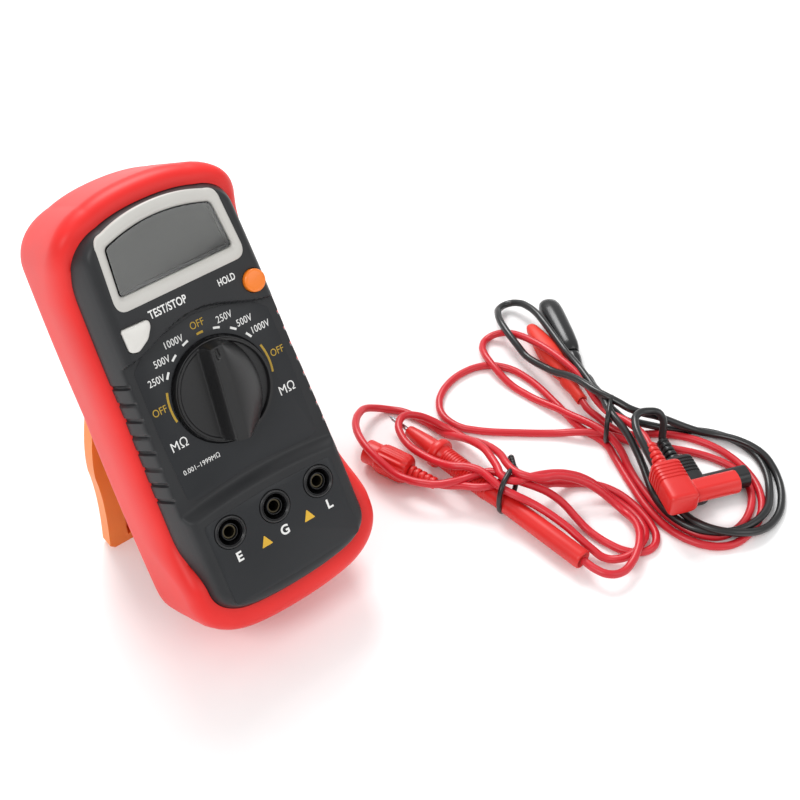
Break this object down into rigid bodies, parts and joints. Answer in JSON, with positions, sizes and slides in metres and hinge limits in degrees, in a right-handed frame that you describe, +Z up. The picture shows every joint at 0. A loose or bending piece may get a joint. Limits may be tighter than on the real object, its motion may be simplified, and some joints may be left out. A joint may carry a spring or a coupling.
{
  "type": "insulation resistance tester",
  "caption": "Hand-held insulation tester with a display, a rotary range switch, two buttons, a row of sockets, a rubber holster and a tilt stand, shown with its leads.",
  "frame": {"origin": "centre of the underside of the tester's bounding box, on the table that its holster and stand rest on", "axes": "+Z up, +X to the right of someone reading the display, -Y towards that person; the face leans back 58.6 degrees above the table"},
  "size_m": [0.2464, 0.2, 0.1617],
  "materials": {
    "bezel_plastic": "fine matt",
    "black_lead": "soft PVC, satin",
    "black_plastic": "satin moulded",
    "black_rubber": "matt",
    "board": "solder mask",
    "brass": "turned",
    "capacitor_sleeve": "shrink sleeve",
    "case_plastic": "fine moulded texture",
    "cell_jacket": "printed steel can",
    "copper_winding": "taped winding",
    "hold_plastic": "smooth moulded",
    "holster_rubber": "soft satin",
    "lcd_glass": "dark grey-green glass sandwich",
    "lens": "clear polished",
    "red_lead": "soft PVC, satin",
    "stand_plastic": "smooth moulded",
    "steel": "plated",
    "white_plastic": "smooth moulded"
  },
  "bodies": {
    "tester": {"front_case": "case_plastic", "back_case": "case_plastic", "battery_cover": "case_plastic", "battery_cell_1": "cell_jacket", "battery_cell_2": "cell_jacket", "battery_cell_3": "cell_jacket", "battery_cell_4": "cell_jacket", "battery_cell_5": "cell_jacket", "battery_cell_6": "cell_jacket", "battery_contact_left": "steel", "battery_contact_right": "steel", "case_screw_1": "steel", "case_screw_2": "steel", "case_screw_3": "steel", "case_screw_4": "steel", "holster": "holster_rubber", "stand_pin_left": "steel", "stand_pin_right": "steel", "display_bezel": "bezel_plastic", "display_lens": "lens", "lcd_panel": "lcd_glass", "zebra_strip_upper": "black_rubber", "zebra_strip_lower": "black_rubber", "hold_switch": "black_plastic", "test_switch": "black_plastic", "jack_housing_e": "black_plastic", "jack_socket_e": "brass", "jack_housing_g": "black_plastic", "jack_socket_g": "brass", "jack_housing_l": "black_plastic", "jack_socket_l": "brass", "circuit_board": "board", "hv_transformer": "copper_winding", "converter_chip": "black_plastic", "meter_chip": "black_plastic", "hv_capacitor": "capacitor_sleeve"},
    "knob": {"range_knob": "black_plastic", "switch_rotor": "white_plastic", "rotor_wiper": "brass"},
    "hold": {"hold_button": "hold_plastic"},
    "test": {"test_button": "white_plastic"},
    "stand": {"kickstand": "stand_plastic"},
    "probe_lead": {"probe_lead_hank": "red_lead", "probe_handle": "red_lead", "probe_tip": "steel", "probe_plug": "red_lead", "probe_plug_pin": "steel", "probe_lead_tie": "black_lead"},
    "clip_leads": {"clip_leads_hank": "black_lead", "clip_leads_tie": "black_lead", "black_plug": "black_lead", "black_plug_pin": "steel", "red_plug": "red_lead", "red_plug_pin": "steel", "red_clip_lower": "red_lead", "black_clip_lower": "black_lead"},
    "red_clip_jaw": {"red_clip_upper": "red_lead"},
    "black_clip_jaw": {"black_clip_upper": "black_lead"}
  },
  "joints": [
    {"name": "range_knob_turn", "type": "hinge", "parent": "tester", "child": "knob", "pos_m": [0, -0.02041, 0.09968], "axis": [0, 0.8536, -0.521], "range_deg": [-108, 108]},
    {"name": "hold_button_press", "type": "slide", "parent": "tester", "child": "hold", "axis": [0, 0.8536, -0.521], "range_m": [0, 0.0011], "stiffness_N_per_m": 600, "springref_m": -0.001},
    {"name": "test_button_press", "type": "slide", "parent": "tester", "child": "test", "axis": [0, 0.8536, -0.521], "range_m": [0, 0.0011], "stiffness_N_per_m": 600, "springref_m": -0.001},
    {"name": "kickstand_fold", "type": "hinge", "parent": "tester", "child": "stand", "pos_m": [0, 0.02535, 0.06986], "axis": [-1, 0, 0], "range_deg": [0, 31]},
    {"name": "probe_lead_lift", "type": "slide", "parent": "tester", "child": "probe_lead", "axis": [0, 0, 1], "range_m": [0, 0.1]},
    {"name": "clip_leads_lift", "type": "slide", "parent": "tester", "child": "clip_leads", "axis": [0, 0, 1], "range_m": [0, 0.1]},
    {"name": "red_clip_jaw_open", "type": "hinge", "parent": "clip_leads", "child": "red_clip_jaw", "pos_m": [0.16939, -0.02339, 0.00495], "axis": [0.9613, -0.2756, 0], "range_deg": [0, 22], "stiffness_Nm_per_rad": 0.05, "springref_deg": -17.19},
    {"name": "black_clip_jaw_open", "type": "hinge", "parent": "clip_leads", "child": "black_clip_jaw", "pos_m": [0.18193, -0.01368, 0.00495], "axis": [0.9092, -0.4163, 0], "range_deg": [0, 22], "stiffness_Nm_per_rad": 0.05, "springref_deg": -17.19}
  ]
}
